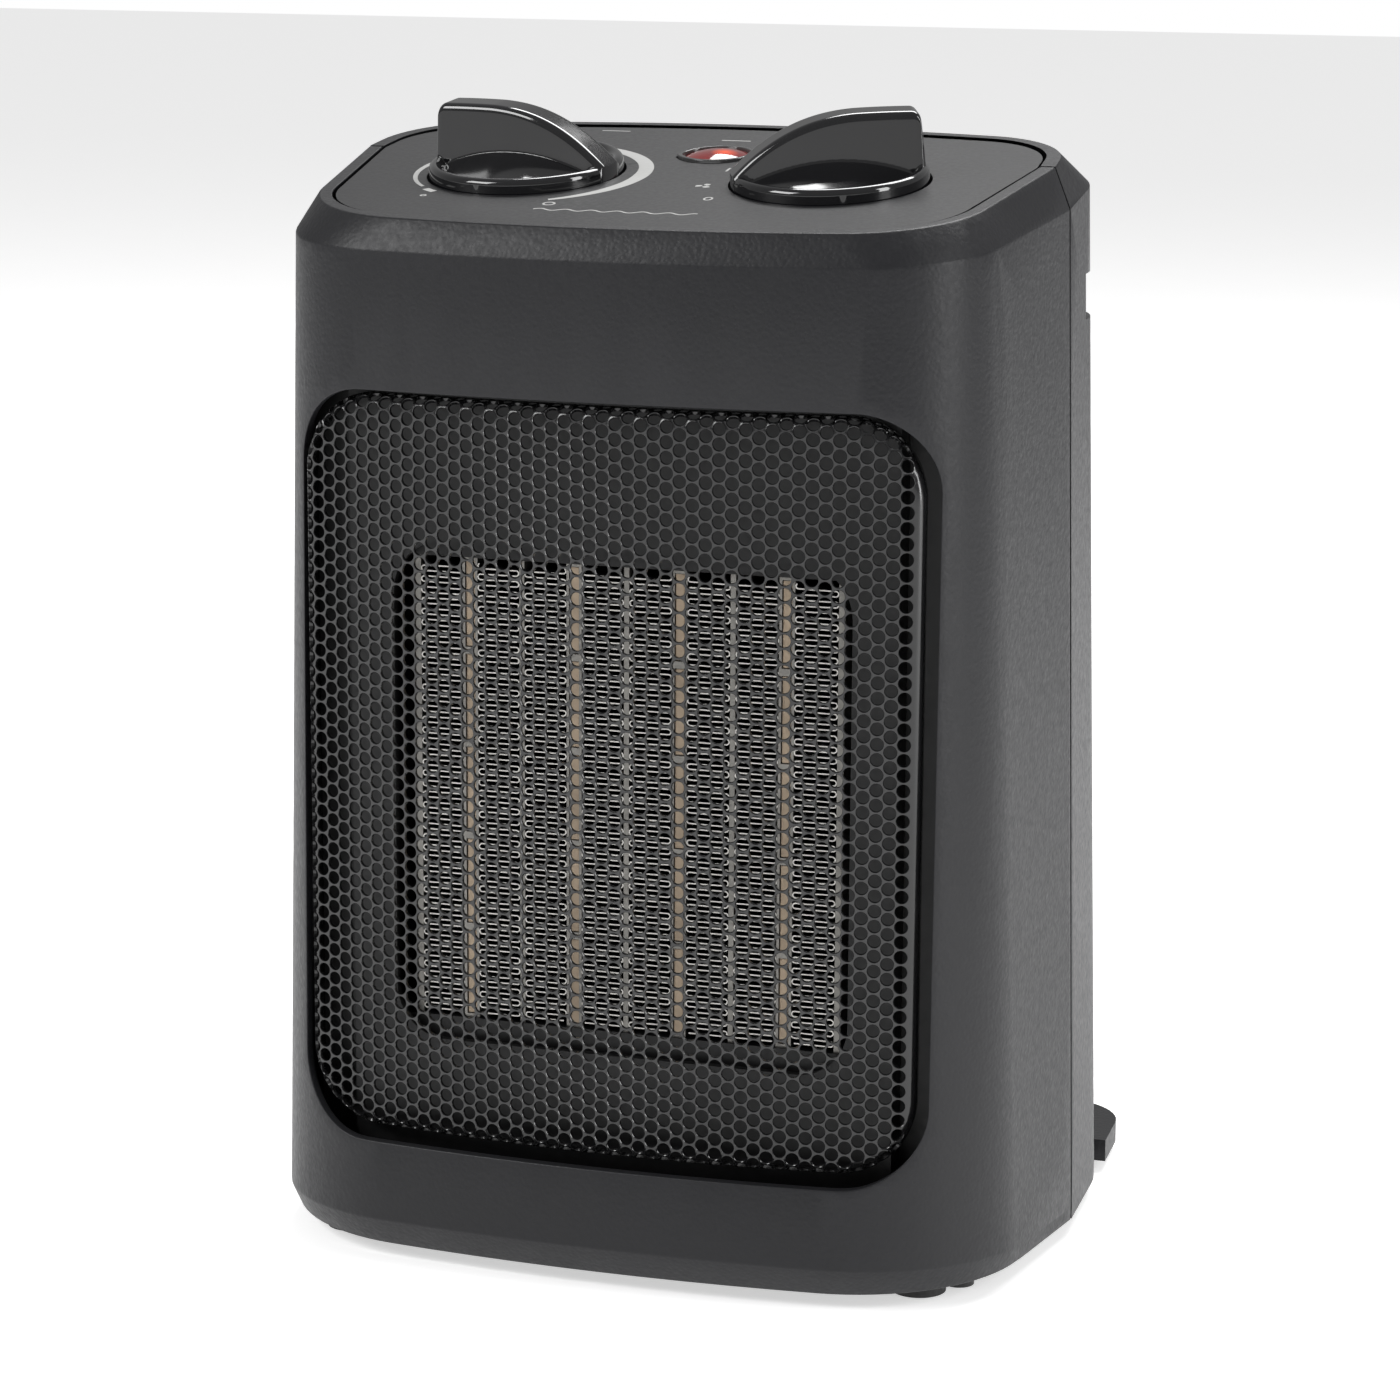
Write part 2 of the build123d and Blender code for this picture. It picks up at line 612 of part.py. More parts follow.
# ---------------------------------------------------------------- fan and motor
with BuildPart() as fan_shroud:
    with BuildSketch(facing_front(TUBE_BACK)):
        with Locations((0, tube_z)):
            RectangleRounded(2 * TUBE_HALF - 2, tube_h, 3)
        with Locations((0, FAN_Z)):
            Circle(SHROUD_R, mode=Mode.SUBTRACT)
    extrude(amount=-2)
    with BuildSketch(facing_front(TUBE_BACK)):
        with Locations((0, FAN_Z)):
            Circle(SHROUD_R + 3)
            Circle(SHROUD_R, mode=Mode.SUBTRACT)
    extrude(amount=TUBE_BACK)
save(fan_shroud, "fan_shroud")

with BuildPart() as impeller:
    with BuildSketch(facing_front(HUB_Y[0])):
        with Locations((0, FAN_Z)):
            Circle(HUB_R)
    extrude(amount=HUB_Y[0] - HUB_Y[1])
    for k in range(BLADES):
        angle = radians(k * 360 / BLADES)
        ray = (cos(angle), 0, sin(angle))
        root = (13 * ray[0], sum(HUB_Y) / 2, FAN_Z + 13 * ray[2])
        with BuildSketch(Plane(origin=root, x_dir=(0, 1, 0), z_dir=ray)):
            Rectangle(BLADE_CHORD, 1.8, rotation=BLADE_ANGLE)
        extrude(amount=BLADE_TIP - 13)
    with BuildSketch(facing_front(HUB_Y[1])):
        with Locations((0, FAN_Z)):
            Circle(SHAFT_R + 0.2)
    extrude(amount=HUB_Y[1] - SHAFT_Y[0], mode=Mode.SUBTRACT)
save(impeller, "impeller")

with BuildPart() as motor_shaft:
    with BuildSketch(facing_front(SHAFT_Y[1])):
        with Locations((0, FAN_Z)):
            Circle(SHAFT_R)
    extrude(amount=SHAFT_Y[1] - SHAFT_Y[0])
save(motor_shaft, "motor_shaft")

with BuildPart() as motor_rotor:
    with BuildSketch(facing_front(STATOR_Y[1])):
        with Locations((0, FAN_Z)):
            Circle(ROTOR_R)
            Circle(SHAFT_R, mode=Mode.SUBTRACT)
    extrude(amount=STATOR_Y[1] - STATOR_Y[0])
save(motor_rotor, "motor_rotor")

with BuildPart() as motor_stator:
    with BuildSketch(facing_front(STATOR_Y[1])):
        with Locations((0, FAN_Z + 14)):
            RectangleRounded(58, 72, 3)
        with Locations((0, FAN_Z)):
            Circle(ROTOR_R + 0.6, mode=Mode.SUBTRACT)
        with Locations((0, FAN_Z + 27)):
            Rectangle(36, 18, mode=Mode.SUBTRACT)
        with Locations((-MOTOR_POST_X, FAN_Z), (MOTOR_POST_X, FAN_Z)):
            Circle(SCREW_R + 0.2, mode=Mode.SUBTRACT)
    extrude(amount=STATOR_Y[1] - STATOR_Y[0])
save(motor_stator, "motor_stator")

with BuildPart() as motor_coil:
    with BuildSketch(facing_front(STATOR_Y[1] + 6)):
        with Locations((0, FAN_Z + 43)):
            RectangleRounded(32, 28, 5)
    extrude(amount=STATOR_Y[1] - STATOR_Y[0] + 12)
    with BuildSketch(facing_front(STATOR_Y[1])):
        with Locations((0, FAN_Z + 43)):
            Rectangle(34, 14)
    extrude(amount=STATOR_Y[1] - STATOR_Y[0], mode=Mode.SUBTRACT)
save(motor_coil, "motor_coil")

# front and rear bars carry the shaft's bearings: (name, bar front, half width, post front)
brackets = (
    ("motor_front_bracket", 0.0, 54.5, 2.0),
    ("motor_rear_bracket", 26.0, 29.0, 24.0),
)
for name, bar_y, bar_half, post_y in brackets:
    with BuildPart() as bracket:
        with BuildSketch(facing_front(bar_y)):
            with Locations((0, FAN_Z)):
                Rectangle(2 * bar_half, 14)
                Circle(11)
        extrude(amount=-2)
        post_length = STATOR_Y[0] - 2 if bar_y < STATOR_Y[0] else 2
        with BuildSketch(facing_front(post_y)):
            with Locations((-MOTOR_POST_X, FAN_Z), (MOTOR_POST_X, FAN_Z)):
                Circle(4)
        extrude(amount=-post_length)
        with BuildSketch(facing_front(bar_y - 1.5)):
            with Locations((0, FAN_Z)):
                Circle(6)
        extrude(amount=-6)
        with BuildSketch(facing_front(bar_y - 4)):
            with Locations((0, FAN_Z)):
                Circle(SHAFT_R + RUNNING)
            with Locations((-MOTOR_POST_X, FAN_Z), (MOTOR_POST_X, FAN_Z)):
                Circle(SCREW_R + 0.2)
        extrude(amount=-14, mode=Mode.SUBTRACT)
    save(bracket, name)

# ---------------------------------------------------------------- intake, base and feet
with BuildPart() as intake_grille:
    middle = sum(INTAKE_Z) / 2
    height = INTAKE_Z[1] - INTAKE_Z[0]
    with BuildSketch(facing_front(47)):
        with Locations((0, middle)):
            RectangleRounded(2 * INTAKE_HALF - 0.6, height - 0.6, 9.7)
    extrude(amount=-3.4)
    with BuildSketch(facing_front(44.6)):
        with Locations((0, middle)):
            RectangleRounded(2 * INTAKE_HALF + 6, height + 8, 12)
    extrude(amount=-1.4)
    with BuildSketch(facing_front(46)):
        with Locations((0, middle)):
            RectangleRounded(2 * INTAKE_HALF - 4, height - 4, 8)
    extrude(amount=-1.2)
    with BuildSketch(facing_front(44)):
        with Locations((0, middle)):
            with GridLocations(27, 6.2, 4, 18):
                Rectangle(24, 3.6)
    extrude(amount=-10, mode=Mode.SUBTRACT)
save(intake_grille, "intake_grille")

with BuildPart() as base_plate:
    with BuildSketch(Plane(origin=(0, SEAM_Y, BASE_TOP - BASE_THICK))):
        draw_panel(WALL + 0.6, FRONT_LEVELS[0], REAR_LEVELS[0])
        with Locations((0, 100)):
            Rectangle(250, 102, mode=Mode.SUBTRACT)
        with Locations((PLUNGER_X, PLUNGER_Y - SEAM_Y)):
            Circle(PLUNGER_R + 0.3, mode=Mode.SUBTRACT)
        with Locations(*[(x, y - SEAM_Y) for x, y in BASE_POSTS]):
            Circle(SCREW_R + 0.2, mode=Mode.SUBTRACT)
    extrude(amount=BASE_THICK)
save(base_plate, "base_plate")

with BuildPart() as front_feet:
    with BuildSketch(Plane.XY):
        with Locations((-69, -52.5), (69, -52.5)):
            Circle(6.3)
    extrude(amount=BASE_TOP - BASE_THICK)
save(front_feet, "front_feet")

with BuildPart() as rear_feet:
    with BuildSketch(Plane.XY):
        with Locations((-74, 66), (74, 66)):
            Circle(7)
    extrude(amount=2)
save(rear_feet, "rear_feet")

# ---------------------------------------------------------------- tip-over switch
with BuildPart() as tip_plunger:
    with BuildSketch(Plane.XY):
        with Locations((PLUNGER_X, PLUNGER_Y)):
            Circle(PLUNGER_R)
    extrude(amount=12)
    with BuildSketch(Plane.XY.offset(10.6)):
        with Locations((PLUNGER_X, PLUNGER_Y)):
            Circle(PLUNGER_R + 1.4)
    extrude(amount=1.4)
    with BuildSketch(Plane.XY.offset(12)):
        with Locations((PLUNGER_X, PLUNGER_Y)):
            Circle(STEM_R)
    extrude(amount=20)
save(tip_plunger, "tip_plunger")

with BuildPart() as tip_spring:
    with BuildLine(Plane(origin=(PLUNGER_X, PLUNGER_Y, 12.6))) as coil:
        Helix(pitch=2.2, height=10.8, radius=3.6)
    with BuildSketch(Plane(origin=coil.line @ 0, z_dir=coil.line % 0)):
        Circle(0.4)
    sweep(path=coil.line)
save(tip_spring, "tip_spring")

with BuildPart() as tip_switch:
    # its arm stands on the chassis' lower shelf and guides the plunger's stem
    with BuildSketch(Plane.XY.offset(24)):
        with Locations((71.2, PLUNGER_Y)):
            Rectangle(18.4, 8)
        with Locations((PLUNGER_X, PLUNGER_Y)):
            Circle(STEM_R + RUNNING, mode=Mode.SUBTRACT)
    extrude(amount=3)
    with BuildSketch(Plane.XY.offset(27)):
        with Locations((67, PLUNGER_Y)):
            Rectangle(10, 8)
    extrude(amount=12)
save(tip_switch, "tip_switch")

# ---------------------------------------------------------------- cord gland and screws
with BuildPart() as cord_gland:
    for start, length, radius in (
        (CORD_BORE_FRONT, CORD_BORE_LENGTH, GLAND_R - 0.3),
        (CORD_BORE_FRONT, 1.8, 8.0),
        (56.8, 1.8, 8.5),
    ):
        with BuildSketch(facing_front(start)):
            with Locations((GLAND_X, GLAND_Z)):
                Circle(radius)
        extrude(amount=-length)
    with BuildSketch(facing_front(CORD_BORE_FRONT)):
        with Locations((GLAND_X, GLAND_Z)):
            Circle(CORD_BORE_R)
    extrude(amount=-CORD_BORE_LENGTH, mode=Mode.SUBTRACT)
save(cord_gland, "cord_gland")

# name, shank length, then the place under each head, whose direction is that of the shank
screw_sets = (
    ("shell_screws", 58, [Plane(origin=(x, 40, z), z_dir=(0, -1, 0)) for x, z in POST_PLACES]),
    ("panel_screws", 14, [Plane(origin=(x, y, SHELF_Z[0])) for x, y in PANEL_POSTS]),
    ("base_screws", 12, [Plane(origin=(x, y, BASE_TOP - BASE_THICK)) for x, y in BASE_POSTS]),
    ("motor_screws", 27, [
        Plane(origin=(x, 28, FAN_Z), z_dir=(0, -1, 0)) for x in (-MOTOR_POST_X, MOTOR_POST_X)
    ]),
)
for name, shank, places in screw_sets:
    with BuildPart() as screws:
        for place in places:
            with BuildSketch(place):
                Circle(SCREW_R)
            extrude(amount=shank)
            with BuildSketch(place):
                Circle(3.0)
            extrude(amount=-2.2)
            with BuildSketch(place.offset(-2.2)):
                Rectangle(4.2, 0.9)
                Rectangle(0.9, 4.2)
            extrude(amount=1.2, mode=Mode.SUBTRACT)
    save(screws, name)
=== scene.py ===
"""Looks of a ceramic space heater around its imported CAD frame. Metres, +Z up, front towards -Y."""

from math import asin, cos, log, pi, radians, sin, sqrt, tan

import bmesh
import bpy
from mathutils import Matrix, Vector


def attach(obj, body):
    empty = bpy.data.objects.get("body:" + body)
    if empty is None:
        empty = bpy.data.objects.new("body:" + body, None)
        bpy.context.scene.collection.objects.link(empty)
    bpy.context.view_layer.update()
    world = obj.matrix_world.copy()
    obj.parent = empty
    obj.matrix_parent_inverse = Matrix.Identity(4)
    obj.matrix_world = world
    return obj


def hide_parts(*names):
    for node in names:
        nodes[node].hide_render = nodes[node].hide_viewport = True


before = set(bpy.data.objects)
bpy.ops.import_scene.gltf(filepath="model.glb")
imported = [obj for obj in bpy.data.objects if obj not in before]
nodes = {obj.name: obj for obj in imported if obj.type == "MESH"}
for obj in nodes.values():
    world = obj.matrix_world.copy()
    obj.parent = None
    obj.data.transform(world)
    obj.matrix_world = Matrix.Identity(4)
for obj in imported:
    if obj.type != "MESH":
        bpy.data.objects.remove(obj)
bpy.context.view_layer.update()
MM = 0.001

# ---------------------------------------------------------------- dimensions shared with the CAD, mm
SEAM_Y = -3.5
PANEL_TILT = 9.0
PANEL_Z = 249.3
PANEL_DROP = 0.3
KNOB_X = 36.2
KNOB_Y = -22.7
MESH_APEX = -73.2
MESH_BOW = 340.0
MESH_HALF = 72.9
MESH_X = -1.4
MESH_Z = (29.8, 199.6)
MESH_CORNER = 18.0
MESH_THICK = 0.8
FOLD = 3.0               # radius of the fold round the sheet's edge
FLANGE = 3.0             # depth of the flange behind the fold
EDGE = 2.4               # plain flat beyond the first and last rows
SHEET_HALF = 79.0        # half width of the sheet's flat layout
PITCH = 3.4
HOLE_R = 1.46
COLUMNS = 49
ROWS = 51
FIRST_HOLE_U = -72.0
HOLES_Z = 28.05          # bottom of the lowest cell
DECAY = 2.718            # base of the fall-off with which the flange runs out

# ---------------------------------------------------------------- materials
def node_material(name, color, rough, metal=0.0, coat=0.0, spec=0.5):
    """Principled material with its tree, shader and object coordinates."""
    mat = bpy.data.materials.new(name)
    mat.use_nodes = True
    tree = mat.node_tree
    shader = tree.nodes["Principled BSDF"]
    shader.inputs["Base Color"].default_value = (*color, 1)
    shader.inputs["Roughness"].default_value = rough
    shader.inputs["Metallic"].default_value = metal
    shader.inputs["Coat Weight"].default_value = coat
    shader.inputs["Coat Roughness"].default_value = 0.08
    shader.inputs["Specular IOR Level"].default_value = spec
    coords = tree.nodes.new("ShaderNodeTexCoord")
    return mat, tree, shader, coords.outputs["Object"]


def texture(tree, kind, where, scale, **values):
    """A texture node of that kind, fed with the coordinates."""
    tex = tree.nodes.new(kind)
    tree.links.new(where, tex.inputs["Vector"])
    tex.inputs["Scale"].default_value = scale
    for key, value in values.items():
        tex.inputs[key.replace("_", " ")].default_value = value
    return tex


def ramp(tree, source, low, high, out_low, out_high):
    """Maps a value from one range to another."""
    mapper = tree.nodes.new("ShaderNodeMapRange")
    tree.links.new(source, mapper.inputs["Value"])
    for key, value in zip(("From Min", "From Max", "To Min", "To Max"), (low, high, out_low, out_high)):
        mapper.inputs[key].default_value = value
    return mapper.outputs["Result"]


def mix_color(tree, factor, first, second):
    """Colour between first and second by a factor."""
    mixer = tree.nodes.new("ShaderNodeMix")
    mixer.data_type = "RGBA"
    tree.links.new(factor, mixer.inputs[0])
    mixer.inputs[6].default_value = (*first, 1)
    mixer.inputs[7].default_value = (*second, 1)
    return mixer.outputs[2]


def add_bump(tree, shader, heights, distance):
    """Bump from one or more heights, the later ones on top of the earlier."""
    last = None
    for height, amount in heights:
        bump = tree.nodes.new("ShaderNodeBump")
        bump.inputs["Strength"].default_value = amount
        bump.inputs["Distance"].default_value = distance
        tree.links.new(height, bump.inputs["Height"])
        if last is not None:
            tree.links.new(last, bump.inputs["Normal"])
        last = bump.outputs["Normal"]
    tree.links.new(last, shader.inputs["Normal"])


def finish_surface(parts, tone, vary, rough, grain, size, strength, distance=0.0001):
    """Colour variation, roughness variation and bump for a material made by node_material."""
    mat, tree, shader, where = parts
    cloud = texture(tree, "ShaderNodeTexNoise", where, 35, Detail=5.0)
    factor = ramp(tree, cloud.outputs["Fac"], 0.3, 0.7, 0, 1)
    darker = tuple(c * (1 - vary) for c in tone)
    lighter = tuple(c * (1 + vary) for c in tone)
    tree.links.new(mix_color(tree, factor, darker, lighter), shader.inputs["Base Color"])
    fine = texture(tree, "ShaderNodeTexNoise", where, size * 0.6, Detail=3.0)
    tree.links.new(ramp(tree, fine.outputs["Fac"], 0.3, 0.7, *rough), shader.inputs["Roughness"])
    if grain == "leather":
        cells = texture(tree, "ShaderNodeTexVoronoi", where, size)
        cells.feature = "SMOOTH_F1"
        layers = [(cells.outputs["Distance"], strength), (fine.outputs["Fac"], strength * 0.5)]
        add_bump(tree, shader, layers, distance)
    elif grain == "brushed":
        stretch = tree.nodes.new("ShaderNodeMapping")
        stretch.inputs["Scale"].default_value = (1, 1, 0.06)
        tree.links.new(where, stretch.inputs["Vector"])
        lines = texture(tree, "ShaderNodeTexNoise", stretch.outputs["Vector"], size, Detail=2.0)
        add_bump(tree, shader, [(lines.outputs["Fac"], strength)], distance)
    else:
        add_bump(tree, shader, [(fine.outputs["Fac"], strength)], distance)
    return mat


def surface(
    name, tone, rough, grain="fine", size=900, strength=0.1, vary=0.12, metal=0.0, coat=0.0, spec=0.5
):
    """A finished procedural material."""
    parts = node_material(name, tone, rough[0], metal, coat, spec)
    return finish_surface(parts, tone, vary, rough, grain, size, strength)


SHELL = surface("shell_grain", (0.0135, 0.0136, 0.0154), (0.38, 0.48), "leather", 1100, 0.6, 0.06, spec=0.3)
PANEL = surface("panel_satin", (0.0115, 0.0116, 0.0128), (0.42, 0.50), "leather", 1500, 0.15, 0.06, spec=0.3)
KNOB = surface("knob_gloss", (0.006, 0.006, 0.007), (0.045, 0.09), "fine", 300, 0.01, 0.2, coat=0.6)
MESH = surface("mesh_enamel", (0.008, 0.008, 0.0085), (0.16, 0.24), "fine", 700, 0.03, 0.2, coat=0.3)
BLACK = surface("black_moulding", (0.010, 0.010, 0.0105), (0.35, 0.5), "fine", 900, 0.08, 0.2)
RUBBER = surface("foot_rubber", (0.012, 0.012, 0.012), (0.5, 0.7), "fine", 1200, 0.2, 0.2)
# FIN_EDGE gives the foil's front edges its own light tone; its sides and back edges get a dark copy of the
# same foil, painted shade of the deep gaps between the folds
FIN_EDGE = surface("fin_edge", (0.80, 0.78, 0.74), (0.30, 0.42), "fine", 1400, 0.1, 0.08, metal=0.6)
FIN_SHADED_FACE = surface("fin_face_painted_shade", (0.045, 0.045, 0.047), (0.35, 0.5), "brushed", 1500, 0.15, 0.2, metal=0.8)
BAR = surface("bar_metal", (0.30, 0.29, 0.27), (0.3, 0.45), "brushed", 1200, 0.15, 0.15, metal=0.8)
CHIP = surface("chip_ceramic", (0.56, 0.44, 0.32), (0.55, 0.75), "fine", 1400, 0.25, 0.25)
PLATED = surface("plated_steel", (0.45, 0.45, 0.43), (0.25, 0.4), "brushed", 900, 0.12, 0.1, metal=1.0)
STEEL = surface("ground_steel", (0.55, 0.55, 0.55), (0.18, 0.3), "brushed", 1300, 0.1, 0.08, metal=1.0)
LAMINATION = surface("laminations", (0.22, 0.22, 0.23), (0.35, 0.5), "brushed", 1100, 0.4, 0.2, metal=0.9)
WINDING = surface("winding", (0.36, 0.13, 0.05), (0.25, 0.4), "brushed", 1600, 0.6, 0.2, metal=0.8)
COPPER = surface("copper_alloy", (0.6, 0.38, 0.18), (0.25, 0.4), "brushed", 900, 0.1, 0.15, metal=1.0)
BROWN = surface("brown_thermoset", (0.10, 0.045, 0.025), (0.35, 0.5), "fine", 900, 0.15, 0.2)
FAN = surface("fan_moulding", (0.025, 0.025, 0.027), (0.2, 0.32), "fine", 600, 0.05, 0.15)
PRINT = surface("dial_print", (0.42, 0.42, 0.41), (0.45, 0.6), "fine", 1800, 0.05, 0.06)
LAMP_GLASS = surface("lamp_glass", (0.9, 0.45, 0.25), (0.05, 0.12), "fine", 300, 0.02, 0.1)


def lens_material():
    """Translucent red moulding with a diamond lattice. The light of the lamp under it is painted on as a
    glow and a lighter base colour round the point over the lamp.
    """
    mat, tree, shader, where = node_material("lens_red", (0.5, 0.02, 0.012), 0.08, coat=0.8)
    turn = tree.nodes.new("ShaderNodeMapping")
    turn.inputs["Rotation"].default_value = (0, 0, radians(17 + 45))
    tree.links.new(where, turn.inputs["Vector"])
    lattice = texture(tree, "ShaderNodeTexChecker", turn.outputs["Vector"], 900)
    near_lamp = tree.nodes.new("ShaderNodeVectorMath")
    near_lamp.operation = "DISTANCE"
    tree.links.new(where, near_lamp.inputs[0])
    near_lamp.inputs[1].default_value = (0.005, -0.003, 0.2505)
    # painted lamp light: emission and a lighter base colour that fade with distance from the lamp's point
    painted_lamp_glow = ramp(tree, near_lamp.outputs["Value"], 0.0004, 0.0034, 1, 0)
    painted_lamp_tint = mix_color(tree, painted_lamp_glow, (0.16, 0.002, 0.002), (0.60, 0.05, 0.01))
    tree.links.new(painted_lamp_tint, shader.inputs["Base Color"])
    light = mix_color(tree, painted_lamp_glow, (0.10, 0.0, 0.0), (1.0, 0.11, 0.01))
    tree.links.new(light, shader.inputs["Emission Color"])
    shader.inputs["Emission Strength"].default_value = 0.5
    add_bump(tree, shader, [(lattice.outputs["Fac"], 0.8)], 0.0003)
    return mat


LENS = lens_material()
BEZEL = surface("bezel_rim", (0.05, 0.05, 0.05), (0.1, 0.18), "fine", 300, 0.02, 0.1, coat=0.5)
FLOOR = surface("studio_floor", (0.86, 0.86, 0.86), (0.7, 0.8), "fine", 40, 0.02, 0.01)
floor_shader = next(node for node in FLOOR.node_tree.nodes if node.type == "BSDF_PRINCIPLED")
floor_shader.inputs["Emission Color"].default_value = (1, 1, 1, 1)
floor_shader.inputs["Emission Strength"].default_value = 0.55

NODE_MATERIALS = {
    SHELL: ["front_shell", "rear_shell"],
    PANEL: ["control_panel"],
    KNOB: ["thermostat_knob", "selector_knob"],
    BLACK: ["chassis", "base_plate", "intake_grille", "fan_shroud", "ptc_top_holder",
            "ptc_bottom_holder", "lamp_holder", "selector_switch", "tip_plunger"],
    RUBBER: ["front_feet", "rear_feet", "cord_gland"],
    BAR: ["ptc_bars", "ptc_dividers"],
    CHIP: ["ptc_chips", "thermal_fuse"],
    PLATED: ["thermostat_spindle", "selector_spindle", "motor_front_bracket", "motor_rear_bracket",
             "shell_screws", "panel_screws", "base_screws", "motor_screws"],
    STEEL: ["motor_shaft", "tip_spring"],
    LAMINATION: ["motor_stator", "motor_rotor"],
    WINDING: ["motor_coil"],
    COPPER: ["bimetal_strip", "electrode_tabs"],
    BROWN: ["thermostat_body", "thermal_cutout", "tip_switch"],
    FAN: ["impeller"],
    LENS: ["pilot_lens"],
    BEZEL: ["lens_bezel"],
    LAMP_GLASS: ["neon_lamp"],
    MESH: ["grille_mesh"],
    FIN_SHADED_FACE: ["ptc_fins"],
}
for mat, names in NODE_MATERIALS.items():
    for name in names:
        nodes[name].data.materials.clear()
        nodes[name].data.materials.append(mat)


# ---------------------------------------------------------------- rounded edges on the carried-over shapes
# node, width of the rounding in mm, and the sharpest turn in degrees that is left alone
ROUNDED = (
    ("front_shell", 0.9, 16),
    ("rear_shell", 0.7, 16),
    ("control_panel", 0.3, 40),
    ("lens_bezel", 0.2, 40),
)
for name, width, limit in ROUNDED:
    weld = nodes[name].modifiers.new("weld", "WELD")
    weld.merge_threshold = 0.00001
    bevel = nodes[name].modifiers.new("round", "BEVEL")
    bevel.width = width * MM
    bevel.segments = 3
    bevel.limit_method = "ANGLE"
    bevel.angle_limit = radians(limit)
    bevel.use_clamp_overlap = True
    bevel.harden_normals = True


# ---------------------------------------------------------------- mesh helpers
def make_piece(name, verts, faces, materials, body, smooth_angle=None, face_materials=None):
    """A closed mesh piece from millimetre vertices, riding on a body."""
    mesh = bpy.data.meshes.new(name)
    mesh.from_pydata([tuple(c * MM for c in v) for v in verts], [], faces)
    for mat in materials:
        mesh.materials.append(mat)
    if face_materials is not None:
        mesh.polygons.foreach_set("material_index", face_materials)
    mesh.update()
    obj = bpy.data.objects.new(name, mesh)
    bpy.context.collection.objects.link(obj)
    if smooth_angle is not None:
        mesh.polygons.foreach_set("use_smooth", [True] * len(mesh.polygons))
        mesh.set_sharp_from_angle(angle=radians(smooth_angle))
    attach(obj, body)
    return obj


# ---------------------------------------------------------------- perforated grille
def on_sheet(u, z, level):
    """Point of the stamped sheet, from its flat layout: folded back round its rounded edge, then bowed."""
    centre_z = sum(MESH_Z) / 2
    half_u = MESH_BOW * asin(MESH_HALF / MESH_BOW) - FOLD
    half_z = (MESH_Z[1] - MESH_Z[0]) / 2 - FOLD
    corner = MESH_CORNER - FOLD
    rel_u = abs(u)
    rel_z = abs(z - centre_z)
    over_u = rel_u - (half_u - corner)
    over_z = rel_z - (half_z - corner)
    if over_u > 0 and over_z > 0:
        reach = sqrt(over_u**2 + over_z**2)
        out = (over_u / reach, over_z / reach)
        over = reach - corner
    elif over_u - corner > over_z - corner:
        out = (1, 0)
        over = rel_u - half_u
    else:
        out = (0, 1)
        over = rel_z - half_z
    depth = level
    if over > 0:
        angle = min(over / FOLD, pi / 2)
        radius = FOLD - level
        beyond = max(0, over - FOLD * pi / 2)
        depth = FOLD - radius * cos(angle) + FLANGE * (1 - DECAY ** (-beyond / FLANGE))
        rel_u += (radius * sin(angle) - over) * out[0]
        rel_z += (radius * sin(angle) - over) * out[1]
    bent = rel_u / MESH_BOW
    radius = MESH_BOW - depth
    x = (1 if u >= 0 else -1) * radius * sin(bent)
    y = MESH_APEX + MESH_BOW - radius * cos(bent)
    return (MESH_X + x, y, centre_z + (1 if z >= centre_z else -1) * rel_z)


